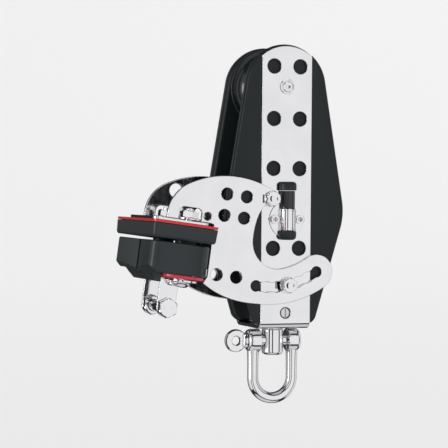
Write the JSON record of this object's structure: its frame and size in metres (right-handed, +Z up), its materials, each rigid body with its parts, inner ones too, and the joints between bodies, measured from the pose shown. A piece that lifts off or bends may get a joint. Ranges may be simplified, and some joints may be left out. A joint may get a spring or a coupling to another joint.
{
  "type": "fiddle block with ratchet and cam cleat",
  "caption": "Fiddle block: in-line sheaves between black cheeks and perforated steel straps, with a ratchet switch, an adjustable cam-cleat arm and a swivel shackle.",
  "frame": {"origin": "inside of the shackle bow's crown, where the block is made fast, in the middle plane of the sheaves", "axes": "+Z up from the shackle through both sheave axles; Y along the axles, the ratchet switch's side is -Y; X across the straps, the cam cleat hangs at -X"},
  "size_m": [0.1517, 0.092, 0.258],
  "materials": {
    "polished_steel": "mirror-polished stainless steel",
    "turned_steel": "turned or drawn stainless steel, satin",
    "cheek_plastic": "glass-filled moulding, fine satin grain",
    "sheave_plastic": "black acetal, polished by rope",
    "switch_plastic": "gloss black",
    "black_alloy": "hard black anodised, satin",
    "red_alloy": "red anodised, satin",
    "red_plastic": "crimson acetal",
    "white_plastic": "natural acetal",
    "bronze": "cast bronze, satin"
  },
  "bodies": {
    "block": {"near_cheek": "cheek_plastic", "far_cheek": "cheek_plastic", "near_strap": "polished_steel", "far_strap": "polished_steel", "near_set_screw": "turned_steel", "far_set_screw": "turned_steel", "near_pivot_bolt": "polished_steel", "far_pivot_bolt": "polished_steel", "near_axle_screw": "polished_steel", "far_axle_screw": "polished_steel", "head_block": "turned_steel", "upper_axle": "turned_steel", "hub_core": "turned_steel", "near_hub_screw_left": "polished_steel", "near_hub_screw_right": "polished_steel", "far_hub_screw_left": "polished_steel", "far_hub_screw_right": "polished_steel", "switch_housing": "polished_steel", "far_hub_plate": "polished_steel", "adjusting_bolt": "polished_steel", "adjusting_near_washer": "polished_steel", "adjusting_far_washer": "polished_steel", "adjusting_nut": "polished_steel", "lower_spacer": "turned_steel"},
    "upper_sheave": {"upper_sheave": "sheave_plastic", "upper_bearing": "white_plastic"},
    "ratchet_sheave": {"ratchet_sheave": "sheave_plastic", "ratchet_ring": "bronze", "hub_bearing": "white_plastic"},
    "ratchet_switch": {"switch_rod": "switch_plastic", "switch_upper_knob": "cheek_plastic", "switch_lower_knob": "cheek_plastic", "ratchet_pawl": "bronze"},
    "swivel": {"swivel_post": "polished_steel", "swivel_washer": "turned_steel", "swivel_nut": "turned_steel"},
    "shackle": {"shackle_bow": "polished_steel", "shackle_pin": "polished_steel"},
    "cam_arm": {"near_arm_plate": "polished_steel", "far_arm_plate": "polished_steel", "cleat_platform": "polished_steel", "cleat_top_plate": "red_alloy", "cleat_base": "black_alloy", "near_cam_spring": "turned_steel", "far_cam_spring": "turned_steel", "near_cam_screw": "polished_steel", "far_cam_screw": "polished_steel", "near_cam_nut": "polished_steel", "far_cam_nut": "polished_steel", "rope_guard": "polished_steel", "guard_bolt": "polished_steel", "guard_nut": "polished_steel"},
    "near_cam": {"near_cam": "black_alloy", "near_cam_ring": "red_plastic"},
    "far_cam": {"far_cam": "black_alloy", "far_cam_ring": "red_plastic"}
  },
  "joints": [
    {"name": "upper_sheave_spin", "type": "hinge", "parent": "block", "child": "upper_sheave", "pos_m": [0, 0, 0.2198], "axis": [0, 1, 0], "continuous": true},
    {"name": "ratchet_sheave_spin", "type": "hinge", "parent": "block", "child": "ratchet_sheave", "pos_m": [0, 0, 0.1258], "axis": [0, 1, 0], "continuous": true},
    {"name": "ratchet_switch_slide", "type": "slide", "parent": "block", "child": "ratchet_switch", "axis": [0, 0, 1], "range_m": [-0.008, 0]},
    {"name": "swivel_turn", "type": "hinge", "parent": "block", "child": "swivel", "pos_m": [0, 0, 0.0474], "axis": [0, 0, 1], "continuous": true},
    {"name": "shackle_swing", "type": "hinge", "parent": "swivel", "child": "shackle", "pos_m": [0, 0, 0.038], "axis": [1, 0, 0], "range_deg": [-95, 95]},
    {"name": "cam_arm_tilt", "type": "hinge", "parent": "block", "child": "cam_arm", "pos_m": [-0.0124, 0, 0.1404], "axis": [0, 1, 0], "range_deg": [-22, 22]},
    {"name": "near_cam_open", "type": "hinge", "parent": "cam_arm", "child": "near_cam", "pos_m": [-0.07379, -0.0255, 0.12115], "axis": [0.1323, 0, 0.9912], "range_deg": [0, 35], "stiffness_Nm_per_rad": 0.05, "springref_deg": -17.19},
    {"name": "far_cam_open", "type": "hinge", "parent": "cam_arm", "child": "far_cam", "pos_m": [-0.07379, 0.0255, 0.12115], "axis": [-0.1323, 0, -0.9912], "range_deg": [0, 35], "stiffness_Nm_per_rad": 0.05, "springref_deg": -17.19}
  ]
}
